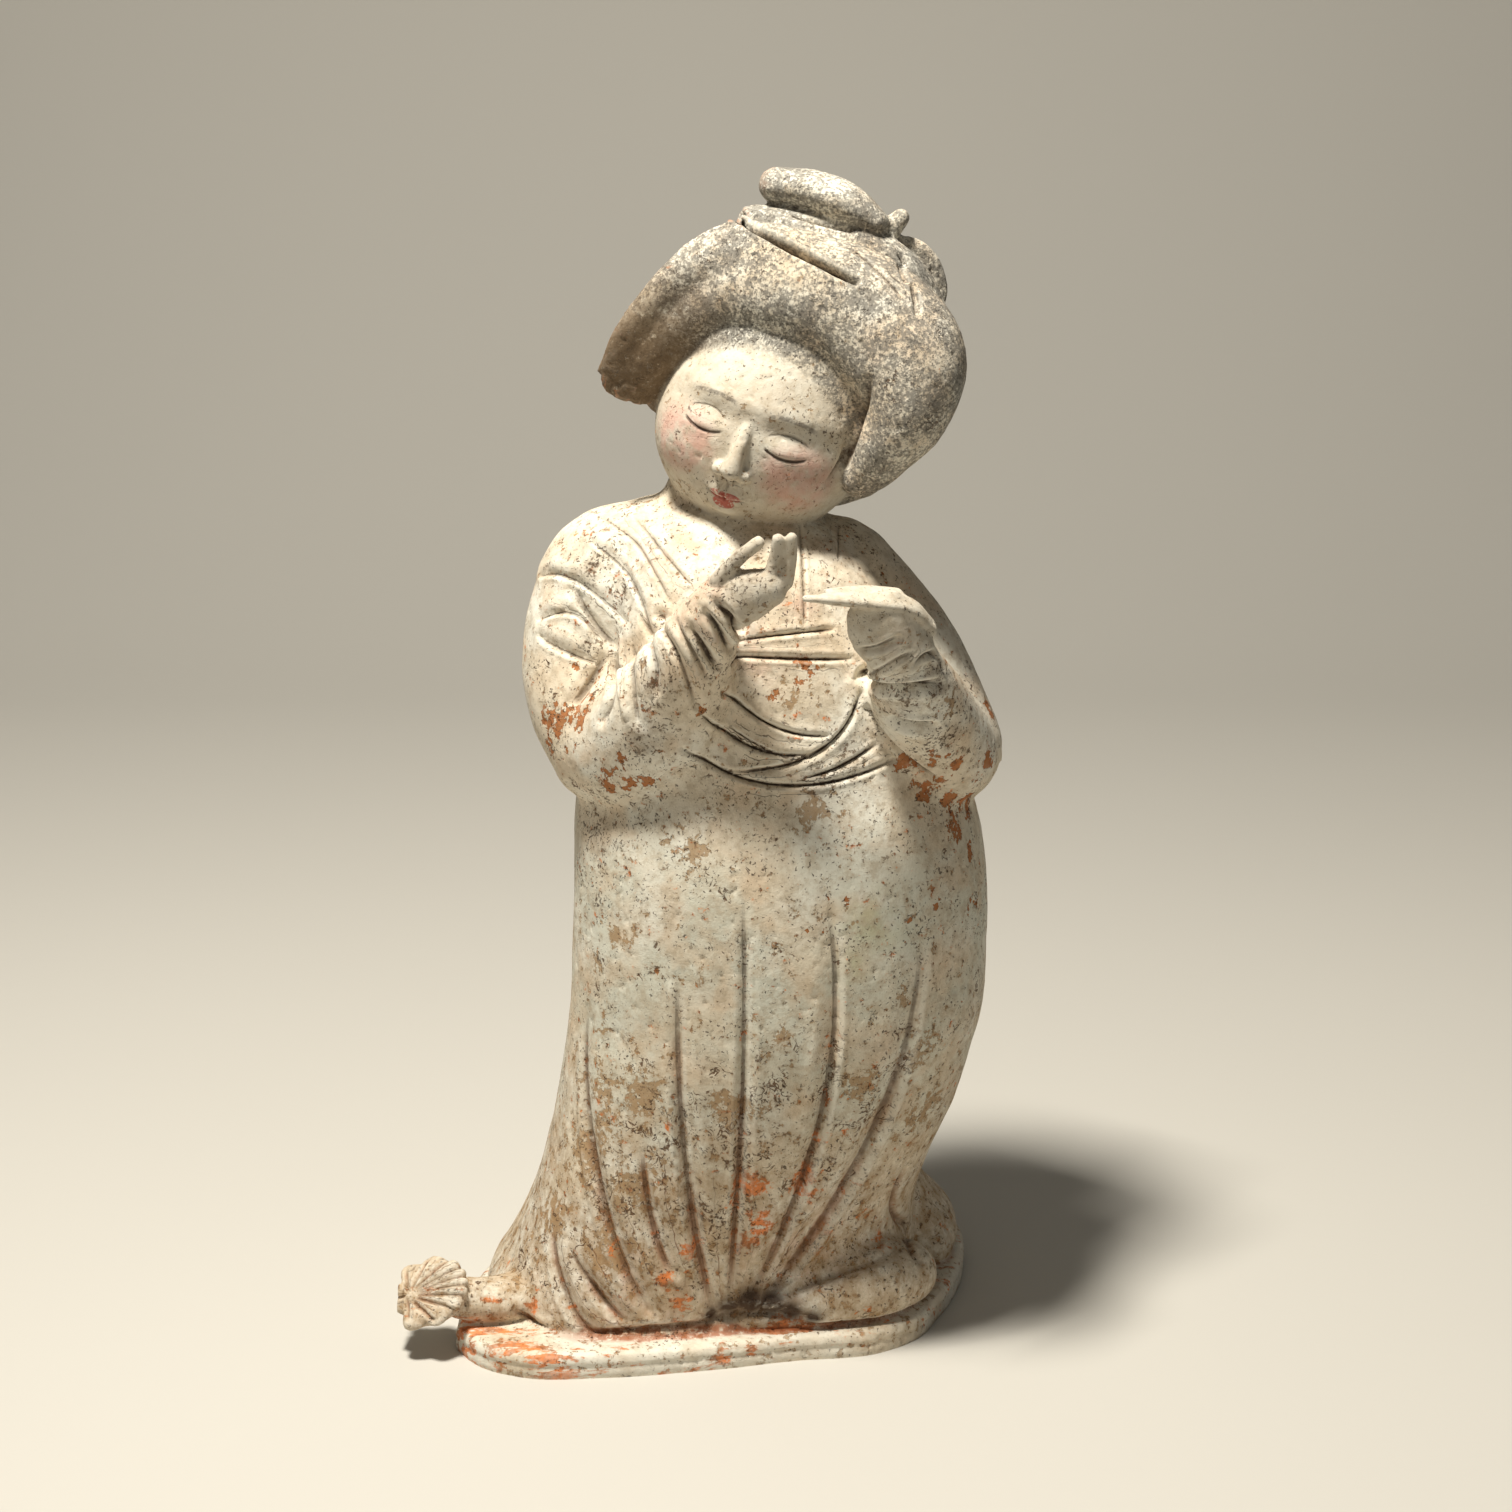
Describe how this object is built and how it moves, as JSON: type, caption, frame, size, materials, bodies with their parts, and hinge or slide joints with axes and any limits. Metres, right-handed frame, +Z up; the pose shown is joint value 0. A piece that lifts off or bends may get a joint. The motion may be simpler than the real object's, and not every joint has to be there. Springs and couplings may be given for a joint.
{
  "type": "court lady tomb figure",
  "caption": "Plump standing lady in a long high-waisted robe, head leaning, hands raised to her chest, wide hair with a topknot, on a thin slab; painted earthenware.",
  "frame": {"origin": "on the flat underside of the slab, below the middle of the robe's trunk", "axes": "+Z up; the lady faces -Y, so her right hand and the upturned shoe are towards -X"},
  "size_m": [0.2583, 0.201, 0.5007],
  "materials": {
    "earthenware": "unglazed fired clay under worn cream slip, matt"
  },
  "bodies": {
    "root": {"court_lady": "earthenware"}
  },
  "joints": []
}
